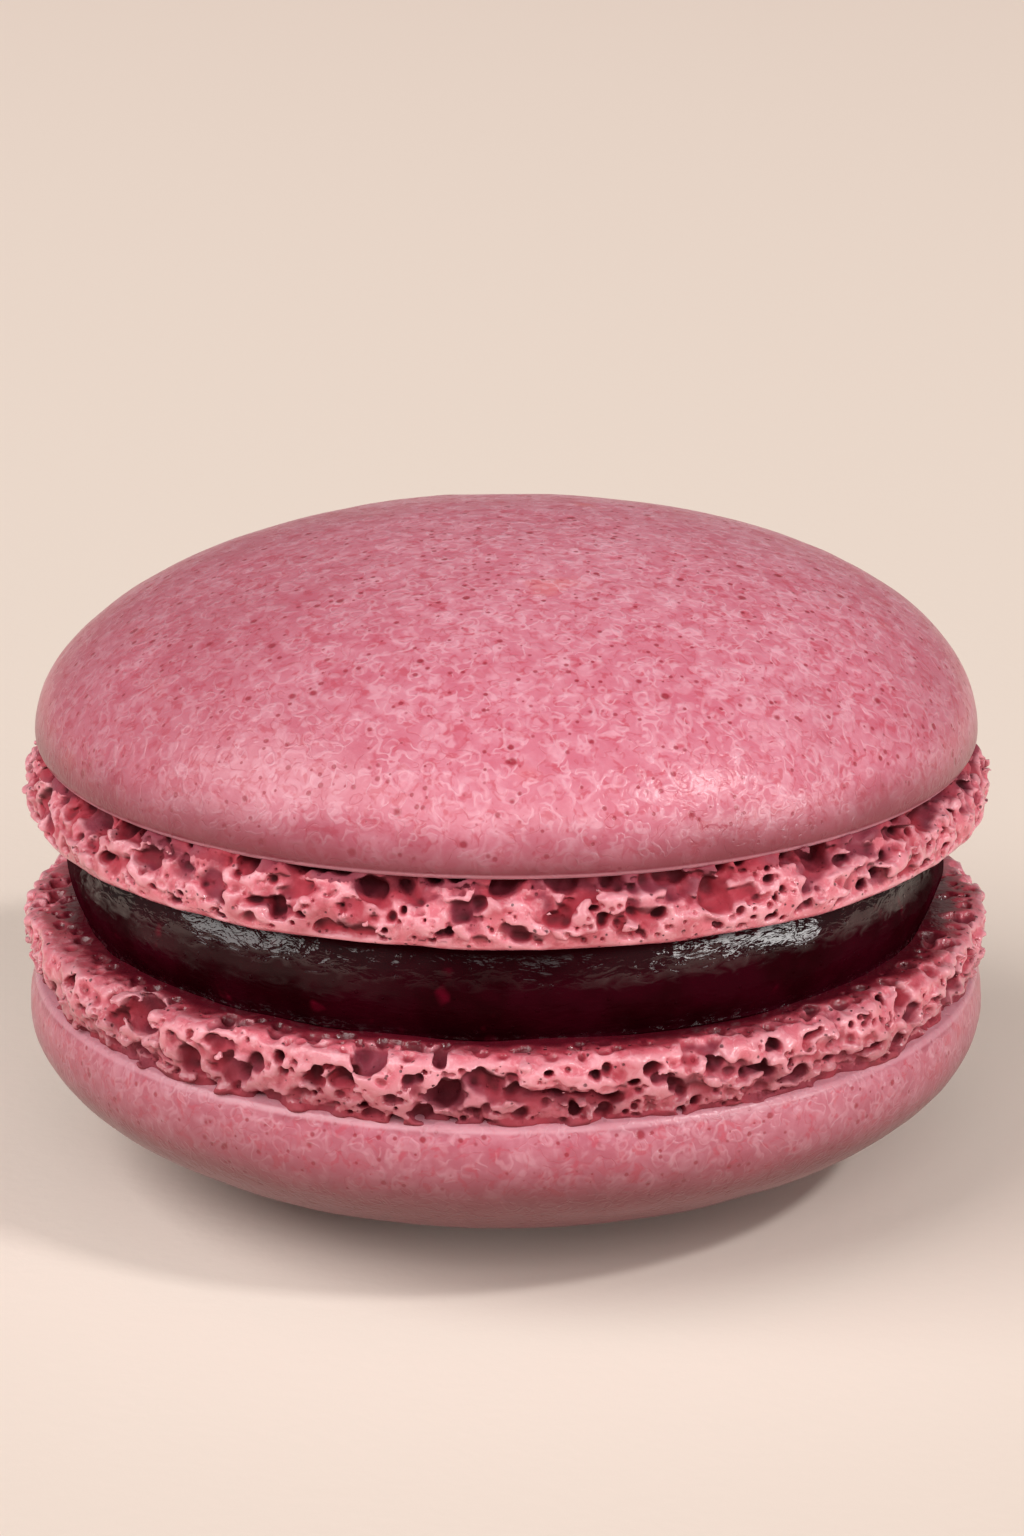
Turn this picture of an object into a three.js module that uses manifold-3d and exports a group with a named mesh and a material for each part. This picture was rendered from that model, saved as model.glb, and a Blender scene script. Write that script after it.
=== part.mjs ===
// A French macaron: two domed almond shells, each with a frilled and porous foot, and a layer of
// berry jam between them. Millimetres, +Z up. The origin is the middle of the small flat spot
// that the lower shell rests on.
import * as THREE from "three";
import { mergeVertices } from "three/addons/utils/BufferGeometryUtils.js";
import Module from "manifold-3d";

const wasm = await Module();
wasm.setup();

// Driving sizes. Heights in a shell are measured from its flat base, the face that meets the jam.
const JAM_BASE = 13.3; // height of the lower shell's base above the table
const JAM_THICKNESS = 5;

const UPPER_SHELL = {
  footRimRadius: 23.4, // where the foot's side turns into the base
  footRadius: 24,
  footWidestAt: 1.4,
  footHeight: 3.2,
  seamRadius: 22.7, // the crease between foot and cap
  capRadius: 23.25,
  capWidestAt: 4,
  capHeight: 13.85,
  apexShift: 0.8, // the dome leans a little towards +X
  seed: 11,
};

const LOWER_SHELL = {
  footRimRadius: 23.5,
  footRadius: 24.15,
  footWidestAt: 1.1,
  footHeight: 3.3,
  seamRadius: 23.4,
  capRadius: 23.9,
  capWidestAt: 5.2,
  capHeight: 13.44,
  apexShift: 0,
  flatAt: JAM_BASE, // the dome is level from here on, where the macaron rests
  seed: 29,
};

const JAM = {
  baseRadius: 21.2,
  topRadius: 21.1,
  radius: 21.9, // at the fullest point of its bulging side
  roundness: 0.7, // below 1 the side is fuller towards its two edges
};

// The cap is set into the foot, and the foot's crown runs on under the cap, so that both join.
const CAP_ROOT = 0.8;
const CROWN_OVERLAP = 0.5;

// Slow waves round an edge: number round the ring, slant with height, and how far they stand out.
const FOOT_WAVES = [
  { lobes: 4, slant: 0.2, size: 0.06 },
  { lobes: 13, slant: 1.1, size: 0.09 },
  { lobes: 24, slant: -1.6, size: 0.14 },
  { lobes: 35, slant: 2.1, size: 0.13 },
];
const JAM_WAVES = [
  { lobes: 3, slant: 0, size: 0.09 },
  { lobes: 7, slant: 0.3, size: 0.06 },
];
const WAVE_PHASE = 2.4;

// The large open cells of the foot, one to each stretch of the ring.
const CELLS = {
  count: 42,
  wander: 0.7, // of a stretch, along the ring
  halfWidth: [0.6, 1.45],
  halfHeight: [0.4, 0.75],
  depth: [0.7, 1.2],
  level: [0.36, 0.82], // height of their centres as a share of the foot's height
  spin: 17, // turns each cell's facets differently from its neighbours'
};

// Fineness of the facets
const CAP_SEGMENTS = 72;
const CAP_ROWS = 9;
const TUCK_ROWS = 2;
const FOOT_SEGMENTS = 124;
const FOOT_RIM_ROWS = 2;
const FOOT_SIDE_ROWS = 4;
const JAM_SEGMENTS = 88;
const JAM_ROWS = 6;

// A small repeatable generator of numbers from 0 to 1.
function numbers(seed) {
  let state = seed >>> 0;
  return () => {
    state = (Math.imul(state, 1664525) + 1013904223) >>> 0;
    return state / 2 ** 32;
  };
}

function between([low, high], share) {
  return low + (high - low) * share;
}

// A closed three.js geometry as a solid that can be joined and cut.
function solid(geometry) {
  const bare = geometry.clone();
  bare.deleteAttribute("normal");
  bare.deleteAttribute("uv");
  const merged = mergeVertices(bare, 1e-4);
  return new wasm.Manifold(
    new wasm.Mesh({
      numProp: 3,
      vertProperties: merged.attributes.position.array,
      triVerts: new Uint32Array(merged.index.array),
    }),
  );
}

// A solid as a three.js geometry again.
function geometryOf(body) {
  const mesh = body.getMesh();
  const geometry = new THREE.BufferGeometry();
  geometry.setAttribute("position", new THREE.BufferAttribute(mesh.vertProperties, 3));
  geometry.setIndex(new THREE.BufferAttribute(mesh.triVerts, 1));
  geometry.computeVertexNormals();
  return geometry;
}

// Points of [radius, height] on a quarter of an ellipse, from its upright side to its level end.
function quarter([sideRadius, sideHeight], [endRadius, endHeight], rows) {
  return Array.from({ length: rows + 1 }, (_, i) => {
    const turn = ((i / rows) * Math.PI) / 2;
    const radius = endRadius + (sideRadius - endRadius) * Math.cos(turn);
    const height = sideHeight + (endHeight - sideHeight) * Math.sin(turn);
    return [i === rows ? endRadius : radius, height];
  });
}

// Turns a profile of [radius, height] round the Z axis. move(point) may then shift each vertex.
function turned(profile, segments, move) {
  const points = profile.map(([radius, height]) => new THREE.Vector2(radius, height));
  const geometry = new THREE.LatheGeometry(points, segments);
  geometry.rotateX(Math.PI / 2);
  const place = geometry.attributes.position;
  const point = new THREE.Vector3();
  for (let i = 0; i < place.count; i += 1) {
    point.fromBufferAttribute(place, i);
    move(point);
    place.setXYZ(i, point.x, point.y, point.z);
  }
  return solid(geometry);
}

// Moves a point in or out by the sum of some waves, which grow from nothing at the quiet radius
// to their full size at the full radius.
function sway(point, waves, quietRadius, fullRadius) {
  const radius = Math.hypot(point.x, point.y);
  const share = (radius - quietRadius) / (fullRadius - quietRadius);
  if (share <= 0) return;
  const angle = Math.atan2(point.y, point.x);
  const out = waves.reduce(
    (sum, { lobes, slant, size }, i) =>
      sum + size * Math.sin(lobes * angle + slant * point.z + WAVE_PHASE * i),
    0,
  );
  const grown = 1 + (share * out) / radius;
  point.x *= grown;
  point.y *= grown;
}

// The smooth cap: it tucks in under its widest point, and is a dome above it.
function cap(shell) {
  const { seamRadius, capRadius, capWidestAt, capHeight, footHeight, flatAt } = shell;
  const root = footHeight - CAP_ROOT;
  const widest = [capRadius, capWidestAt];
  const tuck = quarter(widest, [seamRadius, footHeight], TUCK_ROWS).reverse();
  let dome = quarter(widest, [0, capHeight], CAP_ROWS).slice(1);
  if (flatAt) {
    const share = (flatAt - capWidestAt) / (capHeight - capWidestAt);
    const edge = [capRadius * Math.sqrt(1 - share * share), flatAt];
    dome = [...dome.filter(([, height]) => height < flatAt), edge, [0, flatAt]];
  }
  const profile = [[0, root], [seamRadius - CAP_ROOT / 2, root], ...tuck, ...dome];
  return turned(profile, CAP_SEGMENTS, (point) => {
    const share = Math.max(0, (point.z - footHeight) / (capHeight - footHeight));
    point.x += shell.apexShift * share * share;
  });
}

// The foot before its cells are cut: a disc with a lumpy, swelling side and a flat base.
function footDisc(shell) {
  const { footRimRadius, footRadius, footWidestAt, footHeight, seamRadius } = shell;
  const widest = [footRadius, footWidestAt];
  const crownRadius = seamRadius - CROWN_OVERLAP;
  const rim = quarter(widest, [footRimRadius, 0], FOOT_RIM_ROWS).reverse();
  const side = quarter(widest, [crownRadius, footHeight], FOOT_SIDE_ROWS).slice(1);
  const profile = [[0, 0], ...rim, ...side, [0, footHeight]];
  return turned(profile, FOOT_SEGMENTS, (point) => {
    sway(point, FOOT_WAVES, crownRadius, footRadius);
  });
}

// The open cells: squashed balls that reach in through the foot's side.
function cells(shell) {
  const draw = numbers(shell.seed);
  const stretch = (2 * Math.PI) / CELLS.count;
  return Array.from({ length: CELLS.count }, (_, i) => {
    const angle = (i + CELLS.wander * (draw() - 0.5)) * stretch;
    const height = shell.footHeight * between(CELLS.level, draw());
    const halfWidth = between(CELLS.halfWidth, draw() ** 2);
    const halfHeight = between(CELLS.halfHeight, draw());
    const depth = between(CELLS.depth, draw());
    const ball = new THREE.OctahedronGeometry(1, 1);
    ball.rotateX(angle * CELLS.spin);
    ball.scale(depth, halfWidth, halfHeight);
    ball.translate(shell.footRadius, 0, height);
    ball.rotateZ(angle);
    return solid(ball);
  });
}

// One baked shell, base down: foot and cap grown together, with the open cells cut out of them.
function shellGeometry(shell) {
  const whole = footDisc(shell).add(cap(shell));
  return geometryOf(cells(shell).reduce((body, hole) => body.subtract(hole), whole));
}

// The jam: a flat disc whose side swells out between the shells, uneven round its edge.
function jamGeometry() {
  const bulge = JAM.radius - (JAM.baseRadius + JAM.topRadius) / 2;
  const side = Array.from({ length: JAM_ROWS - 1 }, (_, i) => {
    const share = (i + 1) / JAM_ROWS;
    const straight = between([JAM.baseRadius, JAM.topRadius], share);
    const swell = bulge * Math.sin(Math.PI * share) ** JAM.roundness;
    return [straight + swell, JAM_THICKNESS * share];
  });
  const profile = [
    [0, 0],
    [JAM.baseRadius, 0],
    ...side,
    [JAM.topRadius, JAM_THICKNESS],
    [0, JAM_THICKNESS],
  ];
  const jam = turned(profile, JAM_SEGMENTS, (point) => {
    sway(point, JAM_WAVES, 0, JAM.radius);
  });
  return geometryOf(jam);
}

function piece(name, geometry, color, roughness) {
  const material = new THREE.MeshStandardMaterial({ color, roughness, metalness: 0 });
  const mesh = new THREE.Mesh(geometry, material);
  mesh.name = name;
  return mesh;
}

const upperShell = piece("upper_shell", shellGeometry(UPPER_SHELL), 0xd77f90, 0.6);
upperShell.position.z = JAM_BASE + JAM_THICKNESS;

const jam = piece("jam_filling", jamGeometry(), 0x3a0a12, 0.15);
jam.position.z = JAM_BASE;

const lowerShell = piece("lower_shell", shellGeometry(LOWER_SHELL), 0xcb7383, 0.6);
lowerShell.rotation.x = Math.PI;
lowerShell.position.z = JAM_BASE;

const macaron = new THREE.Group();
macaron.add(lowerShell, jam, upperShell);

export default macaron;
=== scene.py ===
# A French macaron: two pink almond shells, each with a spongy foot, and dark berry jam between.
# Blender works in metres. The shapes below are worked out in millimetres and scaled at the end.
import math
from functools import partial

import bpy
import numpy as np
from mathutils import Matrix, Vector


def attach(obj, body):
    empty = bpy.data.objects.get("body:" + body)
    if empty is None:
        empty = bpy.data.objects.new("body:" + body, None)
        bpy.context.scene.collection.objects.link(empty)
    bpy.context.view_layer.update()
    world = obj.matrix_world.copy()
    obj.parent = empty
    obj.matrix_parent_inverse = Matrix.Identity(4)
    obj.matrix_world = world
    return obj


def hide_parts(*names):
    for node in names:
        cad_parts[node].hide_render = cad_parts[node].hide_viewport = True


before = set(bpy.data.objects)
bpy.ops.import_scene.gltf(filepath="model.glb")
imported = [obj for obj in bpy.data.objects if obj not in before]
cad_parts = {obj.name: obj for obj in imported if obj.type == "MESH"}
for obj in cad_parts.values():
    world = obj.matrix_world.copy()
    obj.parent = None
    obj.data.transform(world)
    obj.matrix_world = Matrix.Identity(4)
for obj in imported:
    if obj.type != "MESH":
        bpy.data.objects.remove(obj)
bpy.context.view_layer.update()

metre = 0.001  # one millimetre in metres
fullTurn = 2 * math.pi

# Where the layers lie, as the solids have them
layers = {
    "jamBottom": 13.3,
    "jamTop": 18.3,
    "apexShift": 0.8,  # the upper dome leans a little towards +X
}


def linked(name, data):
    made = bpy.data.objects.new(name, data)
    bpy.context.scene.collection.objects.link(made)
    return made


# Camera, at the photo's angle
cameraSetup = {
    "distance": 198.8,
    "elevation": 18.389,
    "aimHeight": 15.81,
    "pitchUp": 1.0285,  # turned up from the aim point, so that the macaron sits low in the frame
    "turnRight": 0.086,
    "lens": 92.88,
}


def makeCamera(setup):
    data = bpy.data.cameras.new("camera")
    data.lens = setup["lens"]
    data.sensor_width = 36
    data.clip_start = 0.005
    data.clip_end = 20
    camera = linked("camera", data)
    rise = math.radians(setup["elevation"])
    back = setup["distance"] * math.cos(rise)
    up = setup["aimHeight"] + setup["distance"] * math.sin(rise)
    camera.location = (0, -back * metre, up * metre)
    tilt = 90 - setup["elevation"] + setup["pitchUp"]
    camera.rotation_euler = (math.radians(tilt), 0, -math.radians(setup["turnRight"]))
    bpy.context.scene.camera = camera


makeCamera(cameraSetup)
print("camera ready")


# Helpers for the materials. A new one comes with its node tree and places in millimetres.
def newMaterial(name):
    material = bpy.data.materials.new(name)
    material.use_nodes = True
    tree = material.node_tree
    tree.nodes.clear()
    place = add(tree, "ShaderNodeTexCoord").outputs["Object"]
    return material, tree, vectorMaths(tree, "MULTIPLY", place, (1000, 1000, 1000))


def add(tree, kind, inputs=None, **settings):
    made = tree.nodes.new(kind)
    for name, value in settings.items():
        setattr(made, name, value)
    for key, value in (inputs or {}).items():
        if isinstance(value, bpy.types.NodeSocket):
            tree.links.new(value, made.inputs[key])
        else:
            made.inputs[key].default_value = value
    return made


def maths(tree, operation, a, b=0.0):
    return add(tree, "ShaderNodeMath", {0: a, 1: b}, operation=operation).outputs[0]


def scaled(tree, value, factor):
    return maths(tree, "MULTIPLY", value, factor)


def stretched(tree, value, factor, offset):
    inputs = {0: value, 1: factor, 2: offset}
    return add(tree, "ShaderNodeMath", inputs, operation="MULTIPLY_ADD").outputs[0]


def vectorMaths(tree, operation, a, b):
    return add(tree, "ShaderNodeVectorMath", {0: a, 1: b}, operation=operation).outputs[0]


def noise(tree, place, perMillimetre, detail=2.0, roughness=0.5, distortion=0.0):
    names = ("Vector", "Scale", "Detail", "Roughness", "Distortion")
    values = (place, perMillimetre, detail, roughness, distortion)
    return add(tree, "ShaderNodeTexNoise", dict(zip(names, values))).outputs["Fac"]


# A value from 0 to 1 as the input goes from low to high
def fade(tree, value, low, high, smooth=True):
    kind = "SMOOTHSTEP" if smooth else "LINEAR"
    settings = {"Value": value, "From Min": low, "From Max": high, "To Min": 0.0, "To Max": 1.0}
    return add(tree, "ShaderNodeMapRange", settings, interpolation_type=kind).outputs["Result"]


# Thin curly strokes: the line along which a bent noise passes through its middle value
def strokes(tree, place, perMillimetre, halfWidth, bend):
    value = noise(tree, place, perMillimetre, 1.0, 0.4, bend)
    away = maths(tree, "ABSOLUTE", maths(tree, "SUBTRACT", value, 0.5))
    return fade(tree, away, halfWidth, halfWidth * 0.25)


# Round cells: how far a place is from its cell's middle, and two chance values of the cell
def roundCells(tree, place, perMillimetre):
    settings = {"Vector": place, "Scale": perMillimetre, "Randomness": 1.0}
    cells = add(tree, "ShaderNodeTexVoronoi", settings)
    split = add(tree, "ShaderNodeSeparateColor", {0: cells.outputs["Color"]})
    return cells.outputs["Distance"], split.outputs[0], split.outputs[1]


# Round specks of about the radius given, in millimetres, of which only a share is kept
def specks(tree, place, perMillimetre, radius, share):
    away, chance, other = roundCells(tree, place, perMillimetre)
    unit = radius * perMillimetre
    edge = maths(tree, "DIVIDE", away, stretched(tree, other, 0.8 * unit, 0.55 * unit))
    kept = maths(tree, "LESS_THAN", chance, share)
    return scaled(tree, fade(tree, edge, 1.0, 0.45), kept)


# The place shifted here and there by a noise, so that what is drawn on it bends
def bent(tree, place, perMillimetre, amount):
    push = add(tree, "ShaderNodeTexNoise", {"Vector": place, "Scale": perMillimetre, "Detail": 1.0})
    push = vectorMaths(tree, "SUBTRACT", push.outputs["Color"], (0.5, 0.5, 0.5))
    inputs = {0: push, 1: (amount, amount, amount), 2: place}
    return add(tree, "ShaderNodeVectorMath", inputs, operation="MULTIPLY_ADD").outputs[0]


# Soft outlines of round cells, of which only a share shows. Radius and width are parts of a cell.
def rings(tree, place, perMillimetre, radius, width, share):
    away, chance, other = roundCells(tree, place, perMillimetre)
    away = maths(tree, "SUBTRACT", away, stretched(tree, other, radius, 0.5 * radius))
    away = maths(tree, "ABSOLUTE", away)
    kept = maths(tree, "LESS_THAN", chance, share)
    return scaled(tree, fade(tree, away, width, 0.2 * width), kept)


# Draws patterns: each has its kind, number of features in a millimetre, how far from the others it
# is drawn, and settings
def drawn(tree, patterns, place):
    made = {}
    for name, (kind, perMillimetre, apart, *settings) in patterns.items():
        made[name] = kind(tree, vectorMaths(tree, "ADD", place, apart), perMillimetre, *settings)
    return made


# Lays a colour over another one by the amount given, 0 to 1
def over(tree, amount, under, colour):
    inputs = {"Factor": amount, "A": under, "B": colour}
    mix = add(tree, "ShaderNodeMix", data_type="RGBA")
    for key, value in inputs.items():
        socket = next(s for s in mix.inputs if s.name == key and s.enabled)
        if isinstance(value, bpy.types.NodeSocket):
            tree.links.new(value, socket)
        elif key == "Factor":
            socket.default_value = value
        else:
            socket.default_value = (*value, 1.0)
    return next(s for s in mix.outputs if s.enabled)


# Adds up heights by their names, each by its share
def mixed(tree, heights, shares):
    total = None
    for name, share in shares.items():
        height = scaled(tree, heights[name], share)
        total = height if total is None else maths(tree, "ADD", total, height)
    return total


# Lays colours over one another: each has its pattern, where that fades in, strength and colour
def layered(tree, colour, coats, patterns, colours):
    for name, limits, strength, shade in coats:
        mask = fade(tree, patterns[name], *limits) if limits else patterns[name]
        colour = over(tree, scaled(tree, mask, strength), colour, colours[shade])
    return colour


# A value that the mesh carries at each of its points
def carried(tree, name):
    return add(tree, "ShaderNodeAttribute", attribute_name=name).outputs["Fac"]


def bumped(tree, height, distance):
    return add(tree, "ShaderNodeBump", {"Height": height, "Distance": distance}).outputs["Normal"]


def surface(tree, colour, normal, settings):
    shader = add(tree, "ShaderNodeBsdfPrincipled", settings)
    tree.links.new(colour, shader.inputs["Base Color"])
    tree.links.new(normal, shader.inputs["Normal"])
    tree.links.new(normal, shader.inputs["Coat Normal"])
    output = add(tree, "ShaderNodeOutputMaterial")
    tree.links.new(shader.outputs[0], output.inputs["Surface"])


# Mesh helpers
def asMesh(name, points, quads, triangles=()):
    mesh = bpy.data.meshes.new(name)
    mesh.vertices.add(len(points))
    mesh.vertices.foreach_set("co", (points * metre).astype(np.float32).ravel())
    flat = [np.asarray(quads, np.int32).ravel(), np.asarray(triangles, np.int32).ravel()]
    sizes = [np.full(len(quads), 4, np.int32), np.full(len(triangles), 3, np.int32)]
    loops = np.concatenate(flat)
    counts = np.concatenate(sizes)
    starts = np.concatenate([[0], np.cumsum(counts)[:-1]]).astype(np.int32)
    mesh.loops.add(len(loops))
    mesh.loops.foreach_set("vertex_index", loops)
    mesh.polygons.add(len(counts))
    mesh.polygons.foreach_set("loop_start", starts)
    mesh.update(calc_edges=True)
    mesh.polygons.foreach_set("use_smooth", np.ones(len(counts), bool))
    mesh.validate()
    return linked(name, mesh)


def giveValues(made, name, values):
    layer = made.data.attributes.new(name, "FLOAT", "POINT")
    layer.data.foreach_set("value", values.astype(np.float32))


def eachPoint(mesh, what):
    values = np.zeros(len(mesh.vertices) * 3, np.float32)
    mesh.vertices.foreach_get(what, values)
    return values.reshape(-1, 3).astype(float)


# Values between the spots of a grid, whose first axis may run round a ring
def blended(grid, base, part):
    total = np.zeros(len(base))
    for corner in np.ndindex(2, 2, 2):
        weight = np.where(corner, part, 1 - part).prod(1)
        at = base + corner
        at[:, 0] %= len(grid)
        at[:, 1:] = np.clip(at[:, 1:], 0, np.array(grid.shape[1:]) - 1)
        total += weight * grid[at[:, 0], at[:, 1], at[:, 2]]
    return total


# Smooth noise of about one unit, on points in millimetres, with features of the size given
def pointNoise(points, feature, draw):
    low = points.min(0) - feature
    cells = np.ceil((points.max(0) + feature - low) / feature).astype(int) + 2
    spot = (points - low) / feature
    base = np.floor(spot).astype(int)
    part = spot - base
    return blended(draw.normal(size=cells), base, part * part * (3 - 2 * part))


# Points of [radius, height] on a quarter of an ellipse, from its upright side to its level end
def quarter(side, end, rows):
    turn = np.linspace(0, math.pi / 2, rows + 1)
    radius = end[0] + (side[0] - end[0]) * np.cos(turn)
    height = side[1] + (end[1] - side[1]) * np.sin(turn)
    return np.stack([radius, height], 1)


# Turns a profile round the upright axis. Its first and last points lie on the axis.
def turned(profile, segments):
    ring = profile[1:-1]
    angle = np.arange(segments) * fullTurn / segments
    x = ring[:, None, 0] * np.sin(angle)[None]
    y = -ring[:, None, 0] * np.cos(angle)[None]
    z = np.repeat(ring[:, None, 1], segments, 1)
    points = np.stack([x, y, z], 2).reshape(-1, 3)
    ends = np.array([[0, 0, profile[0, 1]], [0, 0, profile[-1, 1]]])
    points = np.concatenate([points, ends])
    row = np.arange(len(ring) - 1)[:, None] * segments
    here = np.arange(segments)[None]
    beside = (here + 1) % segments
    quads = np.stack([row + here, row + beside, row + segments + beside, row + segments + here], 2)
    first = len(points) - 2
    last = (len(ring) - 1) * segments
    here = here[0]
    beside = beside[0]
    bottom = np.stack([np.full(segments, first), beside, here], 1)
    top = np.stack([last + here, last + beside, np.full(segments, first + 1)], 1)
    return points, quads.reshape(-1, 4), np.concatenate([bottom, top])


# Stands a shell in its place: base up for the lower one, base down for the upper one
def placed(points, upper):
    moved = points.copy()
    height = points[:, 2]
    moved[:, 2] = layers["jamTop"] + height if upper else layers["jamBottom"] - height
    return moved


# Caps: the smooth domes. Heights are measured from the shell's flat base on the jam.
upperCap = {
    "seamRadius": 22.7,
    "seamHeight": 3.2,
    "radius": 23.25,
    "widestAt": 4.0,
    "height": 13.85,
    "flatAt": None,
    "seed": 5,
}
lowerCap = {
    "seamRadius": 23.4,
    "seamHeight": 3.3,
    "radius": 23.9,
    "widestAt": 5.2,
    "height": 13.44,
    "flatAt": 13.3,  # the dome is level from here on, where the macaron rests
    "seed": 6,
}
capFineness = {"around": 700, "domeRows": 112, "tuckRows": 12}
capUnevenness = [(9.0, 0.07), (3.2, 0.022), (1.3, 0.011)]  # size of the features and their height


def capProfile(cap):
    seam = (cap["seamRadius"], cap["seamHeight"])
    widest = (cap["radius"], cap["widestAt"])
    tuck = quarter(widest, seam, capFineness["tuckRows"])[::-1]
    dome = quarter(widest, (0, cap["height"]), capFineness["domeRows"])[1:]
    if cap["flatAt"]:
        rise = (cap["flatAt"] - cap["widestAt"]) / (cap["height"] - cap["widestAt"])
        edge = cap["radius"] * math.sqrt(1 - rise * rise)
        dome = dome[dome[:, 1] < cap["flatAt"]]
        flat = [[edge * share, cap["flatAt"]] for share in (1, 0.75, 0.5, 0.25, 0)]
        dome = np.concatenate([dome, flat])
    steps = [(3, 0.25), (1.2, 0.22), (0.45, 0.14), (0.12, 0.05)]
    under = [[0, seam[1] - 0.25]] + [[seam[0] - inwards, seam[1] - down] for inwards, down in steps]
    return np.concatenate([under, tuck, dome])


def makeCap(name, cap, upper):
    draw = np.random.default_rng(cap["seed"])
    points, quads, triangles = turned(capProfile(cap), capFineness["around"])
    x, y, z = points.T
    top = cap["height"]
    rise = np.clip((z - cap["seamHeight"]) / (top - cap["seamHeight"]), 0, 1)
    out = np.zeros(len(points))
    for feature, depth in capUnevenness:
        out += depth * np.clip(pointNoise(points, feature, draw), -2, 2)
    out = np.minimum(out, 0.9 * (top - z)) * np.clip(rise * 12, 0.15, 1)
    if cap["flatAt"]:
        out *= np.clip((cap["flatAt"] - z) / 0.6, 0, 1)
    lift = (z - cap["widestAt"]) / (top - cap["widestAt"]) ** 2
    normal = np.stack([x / cap["radius"] ** 2, y / cap["radius"] ** 2, lift], 1)
    normal /= np.linalg.norm(normal, axis=1)[:, None] + 1e-9
    points = points + normal * out[:, None]
    if upper:
        points[:, 0] += layers["apexShift"] * rise**2
    made = asMesh(name, placed(points, upper), quads, triangles)
    giveValues(made, "fromSeam", points[:, 2] - cap["seamHeight"])
    return made


# Jam: a flat disc whose side swells out between the shells
jamFilling = {
    "bottomRadius": 21.2,
    "topRadius": 21.1,
    "radius": 21.9,
    "fullness": 0.95,  # below 1 the side is fuller towards its two edges
    "around": 1100,
    "rows": 62,
    "waves": [(3, 0.09, 0.4), (7, 0.06, 2.1)],  # number round the edge, size and phase
    "wrinkles": [(2.4, 0.05), (1.0, 0.022), (0.45, 0.007), (0.26, 0.003)],
    "skirt": (0.12, 0.25),  # how far the bottom edge spreads, and how high up that starts
    "seed": 3,
}


def makeJam(jam):
    draw = np.random.default_rng(jam["seed"])
    share = np.linspace(0, 1, jam["rows"] + 1)
    straight = jam["bottomRadius"] + (jam["topRadius"] - jam["bottomRadius"]) * share
    bulge = jam["radius"] - (jam["bottomRadius"] + jam["topRadius"]) / 2
    swell = bulge * np.sin(math.pi * share) ** jam["fullness"]
    thickness = layers["jamTop"] - layers["jamBottom"]
    spread, start = jam["skirt"]
    swell += spread * np.clip(1 - thickness * share / start, 0, 1) ** 2
    side = np.stack([straight + swell, thickness * share], 1)
    ends = [[0, 0], [jam["bottomRadius"] - 1.5, 0]], [[jam["topRadius"] - 1.5, thickness], [0, thickness]]
    profile = np.concatenate([ends[0], side, ends[1]])
    points, quads, triangles = turned(profile, jam["around"])
    angle = np.arctan2(points[:, 0], -points[:, 1])
    radius = np.hypot(points[:, 0], points[:, 1])
    out = np.zeros(len(points))
    for count, size, phase in jam["waves"]:
        out += size * np.sin(count * angle + phase)
    for feature, size in jam["wrinkles"]:
        out += size * pointNoise(points, feature, draw)
    grown = 1 + out * (radius > jam["topRadius"] - 0.5) / np.maximum(radius, 1)
    points[:, :2] *= grown[:, None]
    points[:, 2] += layers["jamBottom"]
    return asMesh("jam", points, quads, triangles)


# Feet: the spongy frill of each shell, grown as foam on a ring-shaped grid of cells.
# A negative value is dough and a positive one is air.
foamGrid = {
    "around": 1500,
    "inner": 20.7,
    "outer": 24.6,
    "low": -0.3,
    "high": 3.7,
    "reach": 24.18,  # no dough lies beyond this to the front, back or sides, where the solids end
    "step": 0.1,
    "neighbours": 5,  # steps, for the tallest dough near a point
    "nearby": 3,  # steps, for how crowded a point is
}

foamLumps = [(3.2, 0.09), (1.5, 0.08), (0.8, 0.07), (0.42, 0.035)]  # size of the features and their height

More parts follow.
